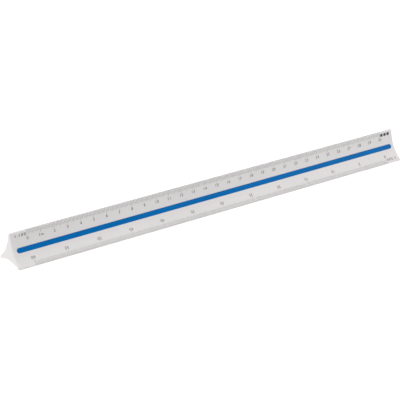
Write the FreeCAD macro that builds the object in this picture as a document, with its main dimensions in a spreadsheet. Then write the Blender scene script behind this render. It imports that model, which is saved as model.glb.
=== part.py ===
"""Triangular scale ruler: a white three-tipped fluted bar, 30 cm of graduations along both edges of each
of its three faces, and a coloured strip inlaid along the middle of each face.

Frame: X runs along the ruler, +Z is up, and the ruler lies on one face. The origin is on the table, under
the middle of the ruler. Every size is in millimetres.

The cross-section is an equilateral triangle with rounded tips. Each side between two tips is hollowed to a
flute, an arc that leaves both tips tangentially, so the ruler touches the table at its tips and the printing
never rubs.
"""

import FreeCAD, Part
import math
import os

import Sketcher
from FreeCAD import Placement, Rotation, Vector

DIMENSIONS = [
    ("ruler_length", 325.0, "overall length"),
    ("tip_span", 24.3, "width of a face, over the two tips that it runs between"),
    ("tip_radius", 1.1, "rounding of a tip"),
    ("flute_depth", 2.2, "from the line that touches two tips to the bottom of the flute between them"),
    ("end_edge", 0.8, "rounding all round each end face"),
    ("groove_width", 3.5, "width of the groove that holds an inlay"),
    ("groove_depth", 0.9, "depth of the groove below the bottom of the flute"),
    ("groove_margin", 3.0, "from the end of the ruler to the end of the groove"),
    ("inlay_gap", 0.04, "gap between an inlay and the wall of its groove"),
    ("inlay_recess", 0.05, "how far an inlay lies below the bottom of the flute"),
    ("inlay_edge", 0.12, "rounding of the top edge of an inlay"),
    ("scale_span", 300.0, "from the zero line to the last line"),
    ("ink_height", 0.08, "thickness of the printing"),
    ("line_width", 0.13, "width of a graduation line"),
    ("line_start", 0.1, "from the tip, along the surface, to where the lines begin"),
    ("under_line_start", 1.6, "the same on the underside, where the tips that touch the table stay bare"),
    ("short_end", 3.4, "from the tip to the end of a short line"),
    ("middle_end", 3.9, "from the tip to the end of a middle line"),
    ("long_end", 4.4, "from the tip to the end of a long line"),
    ("figure_middle", 5.9, "from the tip to the middle of the figures"),
    ("figure_height", 2.1, "height of a figure"),
    ("figure_width", 1.25, "width of a figure"),
    ("figure_space", 0.35, "space between two figures"),
    ("figure_stroke", 0.26, "thickness of a figure's stroke"),
    ("ratio_middle", 3.0, "from the tip to the middle of the ratio, which stands beside the lines"),
    ("ratio_gap", 0.9, "from the zero line to the nearest end of the ratio"),
    ("ratio_space", 0.75, "space between two figures of the ratio"),
    ("bar_block", 2.2, "length of one block of the printed scale bar"),
    ("bar_gap", 0.9, "clear space between two blocks"),
    ("bar_height", 2.0, "height of the printed scale bar"),
]

# The turn about X, in degrees, that brings a face modelled facing +Z to its place, and its inlay's colour.
FACES = {"front": (60, "blue"), "back": (-60, "red"), "under": (180, "green")}

# ratio, face, turned end for end, metres between lines, lines to a middle line, lines to a figured long line
SCALES = [
    (100, "front", False, 0.1, 5, 10),
    (200, "front", True, 0.2, 5, 25),
    (250, "back", True, 0.5, 2, 10),
    (500, "back", False, 0.5, 10, 20),
    (300, "under", False, 0.5, 2, 10),
    (400, "under", True, 0.5, 10, 20),
]
BAR_BLOCKS = 3  # printed blocks of the scale bar

# Expressions on the spreadsheet that more than one sub-part uses.
CELL = "<<dimensions>>."
# The side of the triangle through the centres of the tips, the height of the ruler's axis above the table,
# the radius of a flute, and the distance from the axis to the floor of a groove.
TIP_CENTRES = f"({CELL}tip_span - 2 * {CELL}tip_radius)"
AXIS_HEIGHT = f"({CELL}tip_radius + {TIP_CENTRES} * sqrt(3) / 6)"
FLUTE_RADIUS = (
    f"(({TIP_CENTRES} * {TIP_CENTRES} / 4 - {CELL}flute_depth * {CELL}flute_depth) / (2 * {CELL}flute_depth)"
    f" + {CELL}flute_depth - {CELL}tip_radius)"
)
GROOVE_FLOOR = f"({AXIS_HEIGHT} - {CELL}flute_depth - {CELL}groove_depth)"

doc = FreeCAD.newDocument("triangular_scale_ruler")


def make_sheet():
    """The driving dimensions, one to a row: what it is, its value under an alias, and what it measures."""
    sheet = doc.addObject("Spreadsheet::Sheet", "dimensions")
    sheet.Label = "dimensions"
    for row, (alias, value, meaning) in enumerate(DIMENSIONS, start=1):
        sheet.set(f"A{row}", alias)
        sheet.set(f"B{row}", f"{value}")
        sheet.setAlias(f"B{row}", alias)
        sheet.set(f"C{row}", meaning)
    doc.recompute()
    return sheet


sheet = make_sheet()


def size(alias):
    return float(getattr(sheet, alias))


class Flute:
    """The flute of one face, in the face's own frame: x along the ruler, y across the face, z outwards, and
    the ruler's axis at y = z = 0. The flute is a round trough whose axis runs along x above the face."""

    def __init__(self):
        tip_centres = size("tip_span") - 2 * size("tip_radius")
        half = tip_centres / 2
        depth = size("flute_depth")
        rise = (half**2 - depth**2) / (2 * depth)  # the trough's axis above the centres of the tips
        self.radius = rise + depth - size("tip_radius")
        self.axis = tip_centres * math.sqrt(3) / 6 + rise
        self.half_angle = math.asin(half / (self.radius + size("tip_radius")))
        self.tip_arc = size("tip_radius") * (math.radians(60) + self.half_angle)

    def angle(self, from_tip):
        """The angle about the trough's axis, from the middle of the face, of a point on the flute."""
        return self.half_angle - (from_tip - self.tip_arc) / self.radius

    def point(self, angle, radius, x=0.0):
        return Vector(x, radius * math.sin(angle), self.axis - radius * math.cos(angle))

    def tip_point(self, from_tip, lift):
        """A point on the rounding of the tip, so far from its crest and lifted off the surface."""
        centre = self.point(self.half_angle, self.radius + size("tip_radius"))
        turn = math.radians(30) + from_tip / size("tip_radius")
        reach = size("tip_radius") + lift
        return centre + Vector(0, reach * math.cos(turn), reach * math.sin(turn))


flute = Flute()


# ---------------------------------------------------------------- sketches


def origin_feature(body, role):
    return next(f for f in body.Origin.OriginFeatures if f.Role == role)


def new_sketch(body, name, role, height=None):
    """A sketch on one of the body's own planes, lifted off it by an expression if there is one."""
    sketch = body.newObject("Sketcher::SketchObject", name)
    sketch.AttachmentSupport = [(origin_feature(body, role), "")]
    sketch.MapMode = "FlatFace"
    if height:
        sketch.setExpression("AttachmentOffset.Base.z", height)
    return sketch


def constrain(sketch, expression, *arguments):
    """A constraint whose value is an expression on the spreadsheet."""
    index = sketch.addConstraint(Sketcher.Constraint(*arguments))
    sketch.setExpression(f"Constraints[{index}]", expression)


def section_sketch(body):
    """The fluted triangle: three tips, each an arc, and three flutes tangent to them."""
    sketch = new_sketch(body, "section", "YZ_Plane")
    tip_radius = size("tip_radius")
    tip_centres = size("tip_span") - 2 * tip_radius
    swing = math.pi / 3 + flute.half_angle  # from a tip's crest to where the flute leaves it
    tips, flutes = [], []
    for turn in (90, 210, 330):
        out = math.radians(turn)
        reach = tip_centres / math.sqrt(3)
        centre = Vector(reach * math.cos(out), reach * math.sin(out), 0)
        circle = Part.Circle(centre, Vector(0, 0, 1), tip_radius)
        tips.append(sketch.addGeometry(Part.ArcOfCircle(circle, out - swing, out + swing)))
    for turn in (150, 270, 30):
        out = math.radians(turn)
        centre = Vector(flute.axis * math.cos(out), flute.axis * math.sin(out), 0)
        circle = Part.Circle(centre, Vector(0, 0, 1), flute.radius)
        back = out + math.pi
        arc = Part.ArcOfCircle(circle, back - flute.half_angle, back + flute.half_angle)
        flutes.append(sketch.addGeometry(arc))
    top, left, right = tips
    start, end, centre, axis_y = 1, 2, 3, -2
    sketch.addConstraint(Sketcher.Constraint("Symmetric", left, centre, right, centre, axis_y))
    sketch.addConstraint(Sketcher.Constraint("PointOnObject", top, centre, axis_y))
    for first, second in ((left, right), (left, top)):
        sketch.addConstraint(Sketcher.Constraint("Equal", first, second))
    for first, second in ((0, 1), (0, 2)):
        sketch.addConstraint(Sketcher.Constraint("Equal", flutes[first], flutes[second]))
    for i in range(3):
        following = (i + 1) % 3
        sketch.addConstraint(Sketcher.Constraint("Tangent", tips[i], end, flutes[i], end))
        sketch.addConstraint(Sketcher.Constraint("Tangent", flutes[i], start, tips[following], start))
    constrain(sketch, TIP_CENTRES, "DistanceX", left, centre, right, centre, tip_centres)
    below = tip_centres * math.sqrt(3) / 6
    constrain(sketch, f"{TIP_CENTRES} * sqrt(3) / 6", "DistanceY", left, centre, -1, 1, below)
    constrain(sketch, f"{TIP_CENTRES} / sqrt(3)", "DistanceY", -1, 1, top, centre, 2 * below)
    constrain(sketch, f"{CELL}tip_radius", "Radius", left, tip_radius)
    constrain(sketch, FLUTE_RADIUS, "Radius", flutes[0], flute.radius)
    return sketch


def slot_sketch(body, name, height, gap):
    """A long slot with round ends, centred on the body's origin. gap is how much smaller it is all round."""
    sketch = new_sketch(body, name, "XY_Plane", height)
    clear = f" - 2 * {CELL}inlay_gap" if gap else ""
    width = size("groove_width") - (2 * size("inlay_gap") if gap else 0)
    reach = size("ruler_length") / 2 - size("groove_margin") - size("groove_width") / 2
    ends = []
    for side in (1, -1):
        circle = Part.Circle(Vector(side * reach, 0, 0), Vector(0, 0, 1), width / 2)
        first = -side * math.pi / 2
        ends.append(sketch.addGeometry(Part.ArcOfCircle(circle, first, first + math.pi)))
    sides = []
    for side in (1, -1):
        near = Vector(side * reach, side * width / 2, 0)
        far = Vector(-side * reach, side * width / 2, 0)
        sides.append(sketch.addGeometry(Part.LineSegment(near, far)))
    start, end, centre = 1, 2, 3
    for i in range(2):
        sketch.addConstraint(Sketcher.Constraint("Tangent", ends[i], end, sides[i], start))
        sketch.addConstraint(Sketcher.Constraint("Tangent", sides[i], end, ends[1 - i], start))
    sketch.addConstraint(Sketcher.Constraint("Symmetric", ends[0], centre, ends[1], centre, -1, 1))
    sketch.addConstraint(Sketcher.Constraint("PointOnObject", ends[0], centre, -1))
    span = f"{CELL}ruler_length - 2 * {CELL}groove_margin - {CELL}groove_width"
    constrain(sketch, span, "DistanceX", ends[1], centre, ends[0], centre, 2 * reach)
    constrain(sketch, f"({CELL}groove_width{clear}) / 2", "Radius", ends[0], width / 2)
    return sketch


# ---------------------------------------------------------------- the ruler's bar


def edges_where(shape, test):
    return [f"Edge{i}" for i, edge in enumerate(shape.Edges, start=1) if test(edge)]


def make_bar():
    """The fluted bar, with a groove along the middle of each face and its end edges rounded."""
    body = doc.addObject("PartDesign::Body", "ruler_body")
    body.Label = "ruler_body"
    section = section_sketch(body)
    pad = body.newObject("PartDesign::Pad", "bar")
    pad.Profile = section
    pad.Midplane = True
    pad.setExpression("Length", f"{CELL}ruler_length")
    doc.recompute()
    solid = pad.Shape.Volume

    half = size("ruler_length") / 2
    rims = edges_where(pad.Shape, lambda e: all(abs(abs(v.X) - half) < 1e-6 for v in e.Vertexes))
    ends = body.newObject("PartDesign::Fillet", "end_rounding")
    ends.Base = (pad, rims)
    ends.setExpression("Radius", f"{CELL}end_edge")
    doc.recompute()

    slot = slot_sketch(body, "groove_outline", f"-{GROOVE_FLOOR}", False)
    groove = body.newObject("PartDesign::Pocket", "groove")
    groove.Profile = slot
    groove.setExpression("Length", f"{CELL}groove_depth + {CELL}flute_depth")
    doc.recompute()
    if not groove.Shape.Volume < ends.Shape.Volume < solid:
        raise RuntimeError("the groove or the end rounding takes nothing off the bar")

    grooves = body.newObject("PartDesign::PolarPattern", "three_grooves")
    grooves.Originals = [groove]
    grooves.Axis = (origin_feature(body, "X_Axis"), [""])
    grooves.Angle = 360
    grooves.Occurrences = len(FACES)
    body.Tip = grooves
    body.setExpression("Placement.Base.z", AXIS_HEIGHT)
    return body


def make_inlay(face):
    """The coloured strip of one face, modelled facing +Z and turned to its face by the body's placement."""
    turn, colour = FACES[face]
    name = f"{colour}_inlay"
    body = doc.addObject("PartDesign::Body", name)
    body.Label = name
    outline = slot_sketch(body, f"{colour}_outline", GROOVE_FLOOR, True)
    strip = body.newObject("PartDesign::Pad", f"{colour}_strip")
    strip.Profile = outline
    strip.setExpression("Length", f"{CELL}groove_depth - {CELL}inlay_recess")
    doc.recompute()
    top = strip.Shape.BoundBox.ZMax
    rim = edges_where(strip.Shape, lambda e: all(abs(v.Z - top) < 1e-6 for v in e.Vertexes))
    edge = body.newObject("PartDesign::Fillet", f"{colour}_edge")
    edge.Base = (strip, rim)
    edge.setExpression("Radius", f"{CELL}inlay_edge")
    body.Placement = Placement(Vector(), Rotation(Vector(1, 0, 0), turn))
    body.setExpression("Placement.Base.z", AXIS_HEIGHT)
    return body


# ---------------------------------------------------------------- printing


def graduation_line(start, end):
    """One graduation line, centred on x = 0, between two distances from the tip's crest. It lies on the
    rounding of the tip as far as the flute, and then on the flute."""
    near = min(flute.half_angle, flute.angle(start))
    far = flute.angle(end)
    edges, ends = [], []
    for lift in (0, size("ink_height")):
        radius = flute.radius - lift
        first, last = flute.point(near, radius), flute.point(far, radius)
        edges.append(Part.Arc(first, flute.point((near + far) / 2, radius), last).toShape())
        if start < flute.tip_arc:
            half_way = flute.tip_point((start + flute.tip_arc) / 2, lift)
            edges.append(Part.Arc(flute.tip_point(start, lift), half_way, first).toShape())
            first = flute.tip_point(start, lift)
        ends.append((first, last))
    edges += [Part.makeLine(*pair) for pair in zip(*ends)]
    width = size("line_width")
    line = Part.Face(Part.Wire(Part.__sortEdges__(edges))).extrude(Vector(width, 0, 0))
    line.translate(Vector(-width / 2, 0, 0))
    return line


def graduations(ratio, face, metres, to_middle, to_long):
    """Every line of one scale. Lines repeat at its smallest division, and every so many is longer."""
    start = size("under_line_start" if face == "under" else "line_start")
    lines = {alias: graduation_line(start, size(alias)) for alias in ("short_end", "middle_end", "long_end")}
    step = 1000 * metres / ratio
    made = []
    for i in range(round(size("scale_span") / step) + 1):
        alias = "long_end" if i % to_long == 0 else "middle_end" if i % to_middle == 0 else "short_end"
        made.append(lines[alias].translated(Vector(i * step - size("scale_span") / 2, 0, 0)))
    return Part.makeCompound(made)


DEPTH = Vector(0, 0, 2)  # figures are drawn as prisms this deep, about z = 0, and then bent to the flute
OUTWARD = Vector(0, 0, 1)


def dot(x, y, radius):
    return Part.makeCylinder(radius, DEPTH.z, Vector(x, y, 0) - DEPTH / 2)


def straight(*points):
    """The marks of a pen drawn in straight runs through points given as x, y."""
    pen = size("figure_stroke") / 2
    marks = [dot(*point, pen) for point in points]
    for (x1, y1), (x2, y2) in zip(points, points[1:]):
        run = Vector(x2 - x1, y2 - y1, 0)
        side = run.cross(OUTWARD).normalize() * pen
        near = Vector(x1, y1, 0) - side - DEPTH / 2
        far = near + 2 * side
        nib = Part.Face(Part.makePolygon([near, far, far + DEPTH, near + DEPTH, near]))
        marks.append(nib.extrude(run))
    return marks


def bend(x, y, radius, first, last):
    """The marks of a pen drawn anticlockwise along an arc about x, y, between two angles in degrees."""
    pen = size("figure_stroke") / 2
    inner, outer = (Vector(radius + side * pen, 0, 0) - DEPTH / 2 for side in (-1, 1))
    nib = Part.Face(Part.makePolygon([inner, outer, outer + DEPTH, inner + DEPTH, inner]))
    arc = nib.revolve(Vector(), OUTWARD, last - first)
    arc.rotate(Vector(), OUTWARD, first)
    arc.translate(Vector(x, y, 0))
    ends = [(x + radius * math.cos(a), y + radius * math.sin(a)) for a in map(math.radians, (first, last))]
    return [arc, *(dot(*end, pen) for end in ends)]


def ring(x, y, radius):
    pen = size("figure_stroke") / 2
    return [dot(x, y, radius + pen).cut(dot(x, y, radius - pen))]


def marks_of(character, wide, high):
    """The pen marks of a figure whose stroke centre lines fill a box that is wide by high."""
    half = wide / 2
    bowl = high / 4
    waist = high - half
    open_bowl = 1.08 * half
    lean = math.radians(35)
    foot = (half * (1 + math.cos(lean)), waist - half * math.sin(lean))
    crossing = 0.3 * high
    upright = 0.72 * wide
    arch = 0.3 * wide
    shoulder = 0.62 * high - arch
    side_dot = 0.7 * size("figure_stroke")
    left_side = straight((0, half), (0, waist))
    right_side = straight((wide, half), (wide, waist))
    shapes = {
        "0": bend(half, half, half, 180, 360) + right_side + bend(half, waist, half, 0, 180) + left_side,
        "1": straight((0.2 * wide, 0.8 * high), (0.65 * wide, high), (0.65 * wide, 0)),
        "2": bend(half, waist, half, -35, 170) + straight(foot, (0, 0), (wide, 0)),
        "3": bend(half, 3 * bowl, bowl, -90, 150) + bend(half, bowl, bowl, -150, 90),
        "4": straight((upright, 0), (upright, high), (0, crossing), (wide, crossing)),
        "5": straight((0.9 * wide, high), (0.12 * wide, high), (0.06 * wide, 0.52 * high))
        + bend(half, open_bowl, open_bowl, -150, 142),
        "6": ring(half, half, half) + left_side + bend(half, waist, half, 35, 180),
        "7": straight((0, high), (wide, high), (0.35 * wide, 0)),
        "8": ring(half, 3 * bowl, bowl) + ring(half, bowl, bowl),
        "9": ring(half, waist, half) + bend(half, half, half, 215, 360) + right_side,
        "m": straight((0, 0), (0, shoulder)) + bend(arch, shoulder, arch, 0, 180)
        + straight((2 * arch, shoulder), (2 * arch, 0)) + bend(3 * arch, shoulder, arch, 0, 180)
        + straight((4 * arch, shoulder), (4 * arch, 0)),
        ":": [dot(half, share * high, side_dot) for share in (0.25, 0.75)],
    }
    return shapes[character]


def curved(prisms):
    """Printing of the ink's thickness, from prisms that stand about z = 0, bent to the flute's radius."""
    below, above = flute.radius, flute.radius - size("ink_height")
    box = Part.makeCompound(prisms).BoundBox
    start, length = box.XMin - 1, box.XLength + 2
    rings = [Part.makeCylinder(r, length, Vector(start, 0, below), Vector(1, 0, 0)) for r in (below, above)]
    prism = prisms[0] if len(prisms) == 1 else prisms[0].multiFuse(prisms[1:])
    return prism.common(rings[0].cut(rings[1]))


def make_figure(character):
    """One figure, its left side at x = 0 and its middle at y = 0, lying in the bottom of the trough."""
    pen = size("figure_stroke")
    wide, high = size("figure_width") - pen, size("figure_height") - pen
    marks = marks_of(character, wide, high)
    for mark in marks:
        mark.translate(Vector(pen / 2, -high / 2, 0))
    return curved(marks)


FIGURES = {character: make_figure(character) for character in "0123456789:m"}


def on_flute(shape, x, from_tip):
    """What was drawn in the bottom of the trough, moved along the ruler and round the trough to there."""
    angle = flute.angle(from_tip)
    turn = Rotation(Vector(1, 0, 0), math.degrees(angle))
    placed = shape.copy()
    placed.Placement = Placement(flute.point(angle, flute.radius, x), turn) * shape.Placement
    return placed


def text(words, x, from_tip, space, align="middle"):
    """The solids of a word, centred on x or ending there, with that space between its figures."""
    advance = size("figure_width") + space
    width = len(words) * advance - space
    left = x - width if align == "end" else x - width / 2
    made = []
    for i, character in enumerate(words):
        made += on_flute(FIGURES[character], left + i * advance, from_tip).Solids
    return made


METRE_A_CENTIMETRE = 100  # the ratio of the scale that names its unit, beside its first metre


def figures(ratio, metres, to_long):
    """The figures of one scale, one at each long line."""
    step = 1000 * metres / ratio * to_long
    space = size("figure_space")
    made = []
    for i in range(round(size("scale_span") / step) + 1):
        x = i * step - size("scale_span") / 2
        made += text(f"{round(i * metres * to_long)}", x, size("figure_middle"), space)
        if i == 1 and ratio == METRE_A_CENTIMETRE:
            beside = x + size("figure_width") + space
            made += text("m", beside, size("figure_middle"), space)
    return Part.makeCompound(made)


def scale_bar():
    """A small block scale past the last line of the front scale."""
    block = size("bar_block")
    start = size("scale_span") / 2 + size("ratio_gap")
    corner = Vector(0, -size("bar_height") / 2, 0) - DEPTH / 2
    one_block = curved([Part.makeBox(block, size("bar_height"), DEPTH.z, corner)])
    made = []
    for i in range(BAR_BLOCKS):
        made += on_flute(one_block, start + i * (block + size("bar_gap")), size("ratio_middle")).Solids
    return Part.makeCompound(made)


def add_print(name, shape, face, turned):
    """A printed sub-part, drawn facing +Z and then turned to its face. The scale along the far edge of a
    face is also turned end for end."""
    part = doc.addObject("Part::Feature", name)
    part.Label = name
    part.Shape = shape
    about_face = Rotation(Vector(0, 0, 1), 180 if turned else 0)
    to_face = Rotation(Vector(1, 0, 0), FACES[face][0])
    axis_height = flute.axis - flute.radius + size("flute_depth")
    part.Placement = Placement(Vector(0, 0, axis_height), to_face * about_face)
    return part


def make_printing():
    made = []
    for ratio, face, turned, metres, to_middle, to_long in SCALES:
        lines = graduations(ratio, face, metres, to_middle, to_long)
        made.append(add_print(f"graduations_1_{ratio}", lines, face, turned))
        made.append(add_print(f"figures_1_{ratio}", figures(ratio, metres, to_long), face, turned))
        start = -size("scale_span") / 2 - size("ratio_gap")
        ratio_name = text(f"1:{ratio}", start, size("ratio_middle"), size("ratio_space"), "end")
        made.append(add_print(f"ratio_1_{ratio}", Part.makeCompound(ratio_name), face, turned))
    made.append(add_print("scale_bar_mark", scale_bar(), "front", False))
    return made


# ---------------------------------------------------------------- the whole ruler


def write_parts(parts):
    """Stops on any failed object or bad shape, then writes each sub-part to its own STEP file."""
    doc.recompute()
    failed = [o.Name for o in doc.Objects if "Invalid" in o.State or "Error" in o.State]
    if failed:
        raise RuntimeError(f"these objects failed: {failed}")
    for part in parts:
        if part.Shape.isNull() or not part.Shape.isValid() or not part.Shape.Solids:
            raise RuntimeError(f"{part.Label} has no valid shape")
    os.makedirs("parts", exist_ok=True)
    for part in parts:
        part.Shape.exportStep(f"parts/{part.Label}.step")
        box = part.Shape.BoundBox
        print(f"{part.Label}: {len(part.Shape.Solids)} solids, {part.Shape.Volume:.2f} mm3,"
              f" z {box.ZMin:.3f} to {box.ZMax:.3f}")


bar = make_bar()
inlays = [make_inlay(face) for face in FACES]
printing = make_printing()
write_parts([bar, *inlays, *printing])
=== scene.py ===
"""Looks of the triangular scale ruler: a satin white fluted bar, three coloured strips let into it, and
its printing.

Everything is in metres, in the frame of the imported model: X along the ruler, +Z up, the table at z = 0.
A face is drawn facing +Z with the ruler's axis along X, and then turned about X to its place.
"""

import math

import bmesh
import bpy
from mathutils import Matrix, Vector
from mathutils.geometry import delaunay_2d_cdt


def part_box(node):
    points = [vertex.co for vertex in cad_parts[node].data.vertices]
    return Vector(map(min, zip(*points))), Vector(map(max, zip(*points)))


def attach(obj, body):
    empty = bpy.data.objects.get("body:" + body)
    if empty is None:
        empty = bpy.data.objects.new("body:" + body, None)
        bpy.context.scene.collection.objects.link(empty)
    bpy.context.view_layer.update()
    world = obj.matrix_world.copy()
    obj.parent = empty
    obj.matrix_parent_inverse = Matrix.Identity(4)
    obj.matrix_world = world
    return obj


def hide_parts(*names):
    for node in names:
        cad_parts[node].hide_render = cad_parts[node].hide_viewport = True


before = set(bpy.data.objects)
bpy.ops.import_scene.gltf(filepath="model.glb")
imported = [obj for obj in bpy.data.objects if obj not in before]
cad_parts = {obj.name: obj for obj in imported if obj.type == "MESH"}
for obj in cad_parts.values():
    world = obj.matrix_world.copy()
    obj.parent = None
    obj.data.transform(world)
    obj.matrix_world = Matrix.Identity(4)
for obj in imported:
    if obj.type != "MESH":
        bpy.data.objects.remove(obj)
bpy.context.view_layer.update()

# ---------------------------------------------------------------- sizes

MM = 0.001

BAR_LOW, BAR_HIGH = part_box("ruler_body")
LENGTH = BAR_HIGH.x - BAR_LOW.x
TIP_SPAN = BAR_HIGH.y - BAR_LOW.y  # width of a face, over the two tips that it runs between
TIP_RADIUS = 1.1 * MM
FLUTE_DEPTH = 2.2 * MM
END_EDGE = 0.8 * MM  # rounding round each end face

GROOVE_WIDTH = 3.5 * MM
GROOVE_DEPTH = 0.9 * MM
GROOVE_MARGIN = 3.0 * MM  # from the end of the ruler to the end of a groove
GROOVE_LIP = 0.05 * MM  # rounding of a groove's rim
GROOVE_REACH = LENGTH / 2 - GROOVE_MARGIN - GROOVE_WIDTH / 2  # to the middle of a groove's round end

INLAY_GAP = 0.04 * MM
INLAY_RECESS = 0.05 * MM
INLAY_EDGE = 0.12 * MM  # rounding of an inlay's top edge
INLAY_CROWN = 0.02 * MM  # how much an inlay's top swells in the middle

SCALE_SPAN = 300 * MM
INK = 0.02 * MM  # how far the printing stands off the plastic, and how far it reaches into it
LINE_WIDTH = 0.13 * MM
LINE_START = 0.1 * MM  # this and the other distances across a face run along its surface, from the crest
UNDER_LINE_START = 1.6 * MM
SHORT_END, MIDDLE_END, LONG_END = 3.4 * MM, 3.9 * MM, 4.4 * MM
FIGURE_MIDDLE = 5.9 * MM
FIGURE_HEIGHT = 2.1 * MM
FIGURE_SHARE = 0.73  # height of a figure as a share of the lettering's size
FIGURE_SPACING = 1.12  # space that a figure takes, as a share of what the lettering gives it
RATIO_MIDDLE = 3.0 * MM
RATIO_GAP = 0.9 * MM  # from the zero line to the ratio, and from the last line to the scale bar
RATIO_SPACING = 1.36  # the same share as FIGURE_SPACING, for the wider set ratio
RATIO_BOLD = 0.03 * MM  # how much a ratio's strokes grow on each side
BAR_BLOCKS = 3
BAR_BLOCK = 2.2 * MM  # length of one block of the scale bar
BAR_GAP = 0.9 * MM
BAR_HEIGHT = 2.0 * MM

# The turn about X that brings a face to its place, in degrees, and its inlay's colour. The faces are in
# order round the ruler: each one's near tip, at +y, is the far tip of the face before it.
FACES = {"front": (60, "blue"), "under": (180, "green"), "back": (-60, "red")}
WHITE = (1.0, 0.972, 0.970)
INLAY_COLOURS = {
    "blue": (0.0, 0.154, 0.475),
    "red": (0.510, 0.023, 0.027),
    "green": (0.008, 0.210, 0.070),
}

# ratio, face, turned end for end, metres between lines, lines to a middle line, lines to a long line
SCALES = [
    (100, "front", False, 0.1, 5, 10),
    (200, "front", True, 0.2, 5, 25),
    (250, "back", True, 0.5, 2, 10),
    (500, "back", False, 0.5, 10, 20),
    (300, "under", False, 0.5, 2, 10),
    (400, "under", True, 0.5, 10, 20),
]
METRE_A_CENTIMETRE = 100  # the ratio of the scale that names its unit, beside its first metre

CAMERA_AZIMUTH, CAMERA_ELEVATION, CAMERA_ROLL = -37.33, 23.45, 1.12  # degrees
CAMERA_TARGET = Vector((-12.57, 0.0, 7.43)) * MM  # the point on the ruler that it looks at
CAMERA_DISTANCE = 1.1158
CAMERA_LENS, CAMERA_SENSOR = 147.9, 36.0  # millimetres

ROOM_LIGHT = 0.15
TABLE_GLOW = 0.85
TABLE_REACH = 30.0  # from the middle of the light table to its sides
SOFTBOXES = [  # name, direction from the ruler, distance, size, watts
    ("overhead", (0, 0, 1), 1.6, 1.4, 19.6),
    ("left", (-1, 0, 0.35), 1.6, 1.0, 7.4),
    ("right", (1, -0.5, 0.4), 1.2, 0.8, 3.0),
]


# ---------------------------------------------------------------- cross-section


class Section:
    """The cross-section, seen from one face: y runs across the face and z out of it, and the ruler's axis
    is at y = z = 0. The flute is an arc about a point above the face, tangent to the tips beside it."""

    def __init__(self):
        tip_centres = TIP_SPAN - 2 * TIP_RADIUS
        self.tip_y = tip_centres / 2
        self.tip_z = tip_centres * math.sqrt(3) / 6
        rise = (self.tip_y**2 - FLUTE_DEPTH**2) / (2 * FLUTE_DEPTH)
        self.radius = rise + FLUTE_DEPTH - TIP_RADIUS
        self.centre = self.tip_z + rise
        self.bottom = self.centre - self.radius
        self.half_angle = math.asin(self.tip_y / (self.radius + TIP_RADIUS))
        self.tip_arc = TIP_RADIUS * (math.pi / 3 + self.half_angle)
        self.width = 2 * (self.tip_arc + self.radius * self.half_angle)
        self.axis_height = TIP_RADIUS + self.tip_z

    def angle(self, from_crest):
        """The angle about the flute's centre, from the middle of the face, of a point on the flute."""
        return self.half_angle - (from_crest - self.tip_arc) / self.radius

    def on_flute(self, angle, lift=0.0):
        reach = self.radius - lift
        return reach * math.sin(angle), self.centre - reach * math.cos(angle)

    def at(self, from_crest, lift=0.0):
        """The point (y, z) so far along the surface from the crest of the tip at +y, lifted off it."""
        if from_crest > self.width / 2:
            y, z = self.at(self.width - from_crest, lift)
            return -y, z
        if from_crest > self.tip_arc:
            return self.on_flute(self.angle(from_crest), lift)
        turn = math.pi / 6 + from_crest / TIP_RADIUS
        reach = TIP_RADIUS + lift
        return self.tip_y + reach * math.cos(turn), self.tip_z + reach * math.sin(turn)


section = Section()


def to_face(face, turned=False):
    """From a face drawn facing +Z to its place, end for end too for what is printed along its far edge."""
    turn = Matrix.Rotation(math.radians(FACES[face][0]), 4, "X")
    end_for_end = Matrix.Rotation(math.pi if turned else 0, 4, "Z")
    return Matrix.Translation((0, 0, section.axis_height)) @ turn @ end_for_end


# ---------------------------------------------------------------- finishes


class Value:
    """A value that varies over a surface. Arithmetic on numbers adds Math nodes to the finish."""

    def __init__(self, finish, socket):
        self.finish, self.socket = finish, socket

    def math(self, operation, first, second=0.0):
        return self.finish.node("ShaderNodeMath", {"operation": operation}, {0: first, 1: second})

    def __add__(self, other):
        return self.math("ADD", self, other)

    def __mul__(self, other):
        return self.math("MULTIPLY", self, other)

    def __sub__(self, other):
        return self.math("SUBTRACT", self, other)

    def __rsub__(self, other):
        return self.math("SUBTRACT", other, self)

    def __gt__(self, other):
        return self.math("GREATER_THAN", self, other)

    def __abs__(self):
        return self.math("ABSOLUTE", self)

    __radd__, __rmul__ = __add__, __mul__


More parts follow.
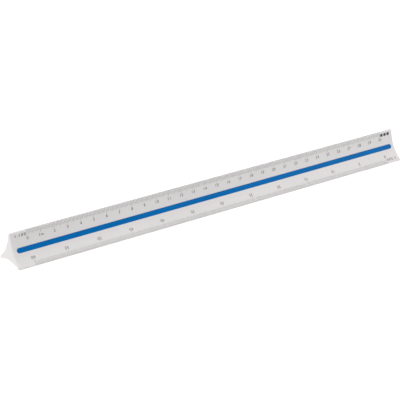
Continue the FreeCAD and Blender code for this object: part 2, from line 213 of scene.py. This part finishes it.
class Finish:
    """A material: its shader, the nodes that feed it, and the place on the object that they start from."""

    def __init__(self, name, **constants):
        self.material = bpy.data.materials.new(name)
        self.material.use_nodes = True
        self.tree = self.material.node_tree
        self.shader = self.tree.nodes["Principled BSDF"]
        self.place = self.node("ShaderNodeTexCoord", output="Object")
        self.set(**constants)

    def node(self, kind, settings=None, inputs=None, output=0):
        """A node of that kind: its settings first, then the values or links of its sockets."""
        node = self.tree.nodes.new(kind)
        for name, value in (settings or {}).items():
            setattr(node, name, value)
        for key, value in (inputs or {}).items():
            self.feed(node.inputs[key], value)
        return Value(self, node.outputs[output])

    def feed(self, socket, value):
        if isinstance(value, Value):
            self.tree.links.new(value.socket, socket)
        else:
            socket.default_value = value

    def set(self, **values):
        """Feeds the shader's own sockets, named in small letters with underscores for spaces."""
        sockets = {socket.name.lower().replace(" ", "_"): socket for socket in self.shader.inputs}
        for name, value in values.items():
            self.feed(sockets[name], value)

    def along(self):
        """Distance from the middle of the ruler, towards either end."""
        return abs(self.node("ShaderNodeSeparateXYZ", inputs={0: self.place}, output="X"))

    def noise(self, features, stretch=(1, 1, 1), detail=2.0):
        """Noise from 0 to 1, with so many features to the metre, or fewer along a stretched axis."""
        place = self.node("ShaderNodeVectorMath", {"operation": "MULTIPLY"}, {0: self.place, 1: stretch})
        inputs = {"Vector": place, "Scale": features, "Detail": detail}
        return self.node("ShaderNodeTexNoise", inputs=inputs)

    def over(self, noise, first, last):
        """0 up to one value of a noise, 1 from another on, and a smooth rise between them."""
        settings = {"interpolation_type": "SMOOTHSTEP"}
        inputs = {"Value": noise, "From Min": first, "From Max": last}
        return self.node("ShaderNodeMapRange", settings, inputs)

    def blend(self, share, first, second):
        """From one colour to another."""
        return self.node("ShaderNodeMix", {"data_type": "RGBA"}, {0: share, 6: first, 7: second}, output=2)

    def relief(self, height):
        """The surface's tilt over bumps whose height is in metres."""
        return self.node("ShaderNodeBump", inputs={"Height": height, "Distance": 1.0})


def shade(colour, share):
    return (*(share * part for part in colour), 1.0)


def grey(share):
    return shade((1.0, 1.0, 1.0), share)


def white_plastic():
    """Satin white plastic, drawn along its length, with a fine matt skin, light scuffs and sawn ends."""
    finish = Finish("satin_white_plastic", ior=1.5, specular_ior_level=0.4)
    cloud = finish.noise(35, detail=3)
    drawn = finish.noise(1400, stretch=(0.012, 1, 1), detail=3)
    skin = finish.noise(3200)
    scuffs = finish.over(finish.noise(420, stretch=(0.22, 1, 1), detail=4), 0.66, 0.74)
    sawn = finish.along() > LENGTH / 2 - 0.2 * END_EDGE
    saw_marks = finish.noise(2600, stretch=(1, 0.05, 1), detail=3)
    tone = 0.6 * cloud + 0.4 * drawn - 0.25 * scuffs
    height = 0.004 * MM * skin + 0.009 * MM * drawn * (1 - sawn) + 0.020 * MM * saw_marks * sawn
    finish.set(
        base_color=finish.blend(tone, shade(WHITE, 0.760), shade(WHITE, 0.850)),
        roughness=0.34 + 0.14 * drawn + 0.10 * scuffs + 0.16 * sawn,
        normal=finish.relief(height - 0.002 * MM * scuffs),
    )
    return finish.material


def inlay_plastic(name, colour):
    """The glossier coloured plastic of an inlay, with the drag of its extrusion along it."""
    finish = Finish(f"{name}_inlay_plastic", ior=1.5, specular_ior_level=0.1)
    drag = finish.noise(1800, stretch=(0.01, 1, 1), detail=3)
    cloud = finish.noise(60, detail=3)
    finish.set(
        base_color=finish.blend(0.5 * drag + 0.5 * cloud, shade(colour, 0.76), shade(colour, 1.24)),
        roughness=0.26 + 0.20 * drag,
        normal=finish.relief(0.008 * MM * drag + 0.02 * MM * cloud),
    )
    return finish.material


def printing_ink():
    """Thin dark ink, a little uneven where it was pressed on."""
    finish = Finish("printing_ink", ior=1.45, specular_ior_level=0.35)
    patchy = finish.noise(9000)
    wash = finish.noise(120)
    finish.set(
        base_color=finish.blend(0.5 * patchy + 0.5 * wash, grey(0.030), grey(0.075)),
        roughness=0.42 + 0.20 * patchy,
        normal=finish.relief(0.003 * MM * patchy),
    )
    return finish.material


def opal_acrylic():
    """The pale top of a light table, lit from beneath."""
    finish = Finish("opal_acrylic", roughness=0.9, specular_ior_level=0.1, emission_strength=TABLE_GLOW)
    finish.set(base_color=grey(0.35), emission_color=grey(1.0))
    return finish.material


# ---------------------------------------------------------------- meshes

TIP_STEPS, FLUTE_STEPS, END_STEPS, SLOT_STEPS, LIP_STEPS, INLAY_STEPS = 12, 30, 5, 24, 4, 5
MERGE = 0.0001 * MM  # points closer than this are one point


def spread(first, last, steps):
    """Evenly spaced values from first to last, both included."""
    return [first + (last - first) * i / steps for i in range(steps + 1)]


def rounding(radius, steps):
    """How far a quarter-round edge has come inwards and outwards, step by step from its start."""
    turns = spread(0, math.pi / 2, steps)
    return [(radius * (1 - math.cos(turn)), radius * math.sin(turn)) for turn in turns]


def bridge(mesh, near, far):
    """Faces between two closed rings that have as many points."""
    for i in range(len(near)):
        j = (i + 1) % len(near)
        mesh.faces.new((near[i], near[j], far[j], far[i]))


def add_solid(mesh, place, rings):
    """A closed solid through rings of points in a face's own frame."""
    placed = [[mesh.verts.new(place @ Vector(point)) for point in ring] for ring in rings]
    for near, far in zip(placed, placed[1:]):
        bridge(mesh, near, far)
    mesh.faces.new(placed[0])
    mesh.faces.new(placed[-1])


def finished(mesh, name):
    """Smooth shaded, its faces turned outwards and its real edges kept sharp."""
    bmesh.ops.recalc_face_normals(mesh, faces=mesh.faces)
    data = bpy.data.meshes.new(name)
    mesh.to_mesh(data)
    mesh.free()
    data.shade_smooth()
    data.set_sharp_from_angle(angle=math.radians(45))
    return data


def slot_outline(radius):
    """Points (x, y) round a long slot with round ends of that radius, as long as a groove."""
    points = []
    for side in (1, -1):
        for angle in spread(-math.pi / 2, math.pi / 2, SLOT_STEPS):
            x = GROOVE_REACH + radius * math.cos(angle)
            points.append((side * x, side * radius * math.sin(angle)))
    return points


# ---------------------------------------------------------------- the bar


def face_stations():
    """Distances from the crest at which a face has its lengthwise lines, from one crest to the other."""
    near = spread(0, section.tip_arc, TIP_STEPS)
    flute = spread(section.tip_arc, section.width - section.tip_arc, FLUTE_STEPS)
    far = [section.width - distance for distance in reversed(near)]
    return near[:-1] + flute + far[1:]


def at_end(vertex):
    return abs(vertex.co.x) > LENGTH / 2 - 2 * END_EDGE


def add_face(mesh, face):
    """One face between the two end roundings, with a hole for its groove. It gives the hole's edges."""
    stations = face_stations()
    reach = LENGTH / 2 - END_EDGE
    middle = section.width / 2
    rim_radius = GROOVE_WIDTH / 2 + GROOVE_LIP
    points = [Vector((end * reach, distance)) for distance in stations for end in (-1, 1)]
    edges = [(2 * i, 2 * i + 1) for i in range(len(stations))]
    edges += [(i, i + 2) for i in range(len(points) - 2)]
    first = len(points)
    for x, y in slot_outline(rim_radius):
        points.append(Vector((x, middle - section.radius * math.asin(y / section.radius))))
    rim = range(first, len(points))
    edges += zip(rim, [*rim[1:], first])
    flat, _, triangles, *_ = delaunay_2d_cdt(points, edges, [], 0, 1e-9)

    def over_groove(triangle):
        x, distance = (sum(flat[i][axis] for i in triangle) / 3 for axis in (0, 1))
        y = section.radius * math.sin((middle - distance) / section.radius)
        return math.hypot(max(0.0, abs(x) - GROOVE_REACH), y) < rim_radius

    place = to_face(face)
    placed = [mesh.verts.new(place @ Vector((x, *section.at(distance)))) for x, distance in flat]
    made = [mesh.faces.new([placed[i] for i in t]) for t in triangles if not over_groove(t)]
    bmesh.ops.delete(mesh, geom=[v for v in placed if not v.link_faces], context="VERTS")
    return [e for f in made for e in f.edges if e.is_boundary and not any(at_end(v) for v in e.verts)]


def loop_of(edges):
    """The points of a closed chain of edges, in order, starting at its first edge."""
    edge = edges[0]
    vertex = edge.verts[0]
    loop = []
    for _ in edges:
        loop.append(vertex)
        vertex = edge.other_vert(vertex)
        edge = next(e for e in vertex.link_edges if e in edges and e is not edge)
    return loop


def add_groove(mesh, rim, face):
    """Carries the rim of the hole round its lip, down the wall of the groove and over its floor."""
    place = to_face(face)
    back = place.inverted()
    rim_radius = GROOVE_WIDTH / 2 + GROOVE_LIP
    lip = [(rim_radius - out, down) for down, out in rounding(GROOVE_LIP, LIP_STEPS)[1:]]
    ring = rim
    for radius, down in [*lip, (GROOVE_WIDTH / 2, None)]:
        deeper = []
        for vertex in rim:
            point = back @ vertex.co
            hub = Vector((max(-GROOVE_REACH, min(GROOVE_REACH, point.x)), 0, 0))
            edge = hub + Vector((point.x - hub.x, point.y, 0)).normalized() * radius
            edge.z = section.bottom - GROOVE_DEPTH if down is None else point.z - down
            deeper.append(mesh.verts.new(place @ edge))
        bridge(mesh, ring, deeper)
        ring = deeper
    mesh.faces.new(ring)


def end_ring(mesh, side, inwards, outwards):
    """Points round one end of the bar, so far in from its surface and out from its rounding's start."""
    x = side * (LENGTH / 2 - END_EDGE + outwards)
    ring = []
    for face in FACES:
        place = to_face(face)
        for distance in face_stations()[:-1]:
            ring.append(mesh.verts.new(place @ Vector((x, *section.at(distance, -inwards)))))
    return ring


def bar_mesh():
    mesh = bmesh.new()
    for face in FACES:
        hole = add_face(mesh, face)
        add_groove(mesh, loop_of(hole), face)
    for side in (-1, 1):
        rings = [end_ring(mesh, side, *step) for step in rounding(END_EDGE, END_STEPS)]
        for near, far in zip(rings, rings[1:]):
            bridge(mesh, near, far)
        mesh.faces.new(rings[-1])
    bmesh.ops.remove_doubles(mesh, verts=mesh.verts, dist=MERGE)
    return finished(mesh, "bar")


def inlay_mesh(face):
    """A strip with round ends: flat beneath, its top edge rounded and its top faintly crowned."""
    mesh = bmesh.new()
    radius = GROOVE_WIDTH / 2 - INLAY_GAP
    top = section.bottom - INLAY_RECESS
    levels = [(radius, section.bottom - GROOVE_DEPTH)]
    for inwards, upwards in rounding(INLAY_EDGE, INLAY_STEPS):
        levels.append((radius - inwards, top - INLAY_EDGE + upwards))
    for share in (0.66, 0.33, 0.04):
        levels.append((share * (radius - INLAY_EDGE), top + INLAY_CROWN * (1 - share**2)))
    add_solid(mesh, to_face(face), [[(x, y, level) for x, y in slot_outline(r)] for r, level in levels])
    return finished(mesh, "inlay")


# ---------------------------------------------------------------- printing


def across_line(left, width, distance):
    """The four corners of a printed stripe, so far from the crest."""
    ends = ((left, -INK), (left + width, -INK), (left + width, INK), (left, INK))
    return [(x, *section.at(distance, lift)) for x, lift in ends]


def stripe_stations(start, end):
    """Distances from the crest at which a stripe bends: often on the tip, and a few times on the flute."""
    on_tip = spread(start, section.tip_arc, 5) if start < section.tip_arc else [start]
    return on_tip[:-1] + spread(on_tip[-1], end, 3)


def add_stripe(mesh, place, left, width, start, end):
    rings = [across_line(left, width, distance) for distance in stripe_stations(start, end)]
    add_solid(mesh, place, rings)


def lines_mesh(ratio, face, turned, metres, to_middle, to_long):
    mesh = bmesh.new()
    place = to_face(face, turned)
    start = UNDER_LINE_START if face == "under" else LINE_START
    step = metres / ratio
    for i in range(round(SCALE_SPAN / step) + 1):
        end = LONG_END if i % to_long == 0 else MIDDLE_END if i % to_middle == 0 else SHORT_END
        left = i * step - (SCALE_SPAN + LINE_WIDTH) / 2
        add_stripe(mesh, place, left, LINE_WIDTH, start, end)
    return finished(mesh, "lines")


def add_word(mesh, place, words, x, from_crest, align="CENTER", spacing=FIGURE_SPACING, bold=0.0):
    """A word in plain figures, bent to the flute, centred on x or ending there."""
    lettering = bpy.data.curves.new("word", "FONT")
    lettering.body = words
    lettering.align_x = align
    lettering.size = FIGURE_HEIGHT / FIGURE_SHARE
    lettering.extrude = INK
    lettering.resolution_u = 6
    lettering.space_character = spacing
    lettering.offset = bold
    drawn = bpy.data.objects.new("word", lettering)
    flat = bpy.data.meshes.new_from_object(drawn)
    word = bmesh.new()
    word.from_mesh(flat)
    bmesh.ops.remove_doubles(word, verts=word.verts, dist=MERGE)
    for vertex in word.verts:
        along, up, lift = vertex.co
        angle = section.angle(from_crest) + (up - FIGURE_HEIGHT / 2) / section.radius
        vertex.co = place @ Vector((x + along, *section.on_flute(angle, lift)))
    word.to_mesh(flat)
    word.free()
    mesh.from_mesh(flat)
    bpy.data.objects.remove(drawn)
    bpy.data.curves.remove(lettering)
    bpy.data.meshes.remove(flat)


def figures_mesh(ratio, face, turned, metres, to_long):
    mesh = bmesh.new()
    place = to_face(face, turned)
    step = metres / ratio * to_long
    for i in range(round(SCALE_SPAN / step) + 1):
        number = str(round(i * metres * to_long))
        unit = "m" if i == 1 and ratio == METRE_A_CENTIMETRE else ""
        add_word(mesh, place, number + unit, i * step - SCALE_SPAN / 2, FIGURE_MIDDLE)
    return finished(mesh, "figures")


def ratio_mesh(ratio, face, turned):
    mesh = bmesh.new()
    end = -SCALE_SPAN / 2 - RATIO_GAP
    place = to_face(face, turned)
    add_word(mesh, place, f"1:{ratio}", end, RATIO_MIDDLE, "RIGHT", RATIO_SPACING, RATIO_BOLD)
    return finished(mesh, "ratio")


def scale_bar_mesh():
    """A row of printed blocks past the last line."""
    mesh = bmesh.new()
    first = SCALE_SPAN / 2 + RATIO_GAP
    low, high = RATIO_MIDDLE - BAR_HEIGHT / 2, RATIO_MIDDLE + BAR_HEIGHT / 2
    for i in range(BAR_BLOCKS):
        add_stripe(mesh, to_face("front"), first + i * (BAR_BLOCK + BAR_GAP), BAR_BLOCK, low, high)
    return finished(mesh, "scale_bar")


# ---------------------------------------------------------------- the ruler


def add_piece(name, mesh, material, replaced):
    """A finished piece of the ruler, which rides on its one body in place of a CAD node."""
    piece = bpy.data.objects.new(name, mesh)
    bpy.context.scene.collection.objects.link(piece)
    mesh.materials.append(material)
    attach(piece, "root")
    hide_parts(replaced)
    return piece


def even_shading(piece):
    """Keeps the long faces' shading from being pulled about by the small ones beside them."""
    modifier = piece.modifiers.new("even_shading", "WEIGHTED_NORMAL")
    modifier.keep_sharp = True


even_shading(add_piece("moulded_bar", bar_mesh(), white_plastic(), "ruler_body"))
for face, (_, colour) in FACES.items():
    plastic = inlay_plastic(colour, INLAY_COLOURS[colour])
    add_piece(f"{colour}_strip", inlay_mesh(face), plastic, f"{colour}_inlay")

ink = printing_ink()
for ratio, face, turned, metres, to_middle, to_long in SCALES:
    lines = lines_mesh(ratio, face, turned, metres, to_middle, to_long)
    numbers = figures_mesh(ratio, face, turned, metres, to_long)
    scale_name = ratio_mesh(ratio, face, turned)
    add_piece(f"lines_1_{ratio}", lines, ink, f"graduations_1_{ratio}")
    add_piece(f"numbers_1_{ratio}", numbers, ink, f"figures_1_{ratio}")
    add_piece(f"scale_name_1_{ratio}", scale_name, ink, f"ratio_1_{ratio}")
add_piece("block_mark", scale_bar_mesh(), ink, "scale_bar_mark")


# ---------------------------------------------------------------- studio


def camera_turn():
    """The way that the camera is turned, and the direction from the ruler to it."""
    azimuth, elevation, roll = map(math.radians, (CAMERA_AZIMUTH, CAMERA_ELEVATION, CAMERA_ROLL))
    level = math.cos(elevation)
    outward = Vector((math.sin(azimuth) * level, -math.cos(azimuth) * level, math.sin(elevation)))
    right = Vector((math.cos(azimuth), math.sin(azimuth), 0))
    upright = Matrix((right, outward.cross(right), outward)).transposed()
    return upright @ Matrix.Rotation(roll, 3, "Z"), outward


def add_camera():
    camera = bpy.data.objects.new("camera", bpy.data.cameras.new("camera"))
    bpy.context.scene.collection.objects.link(camera)
    turn, outward = camera_turn()
    camera.matrix_world = Matrix.Translation(CAMERA_TARGET + outward * CAMERA_DISTANCE) @ turn.to_4x4()
    camera.data.lens = CAMERA_LENS
    camera.data.sensor_width = CAMERA_SENSOR
    camera.data.clip_start = 0.01
    bpy.context.scene.camera = camera


def add_light_table():
    """A pale level top that the ruler lies on, far wider than any view of it."""
    mesh = bpy.data.meshes.new("light_table")
    corners = [(x * TABLE_REACH, y * TABLE_REACH, 0) for x, y in ((-1, -1), (1, -1), (1, 1), (-1, 1))]
    mesh.from_pydata(corners, [], [(0, 1, 2, 3)])
    mesh.materials.append(opal_acrylic())
    table = bpy.data.objects.new("light_table", mesh)
    bpy.context.scene.collection.objects.link(table)


def add_softbox(name, towards, distance, size, power):
    """A square soft light so far from the ruler in a direction, turned to face it."""
    light = bpy.data.lights.new(name, "AREA")
    light.size = size
    light.energy = power
    lamp = bpy.data.objects.new(name, light)
    bpy.context.scene.collection.objects.link(lamp)
    direction = Vector(towards).normalized()
    lamp.location = direction * distance
    lamp.rotation_euler = direction.to_track_quat("Z", "Y").to_euler()


def light_room(brightness):
    world = bpy.data.worlds.new("room")
    bpy.context.scene.world = world
    world.use_nodes = True
    backdrop = world.node_tree.nodes["Background"]
    backdrop.inputs["Color"].default_value = grey(1.0)
    backdrop.inputs["Strength"].default_value = brightness


add_camera()
add_light_table()
light_room(ROOM_LIGHT)
for softbox in SOFTBOXES:
    add_softbox(*softbox)
bpy.context.scene.view_settings.view_transform = "Standard"
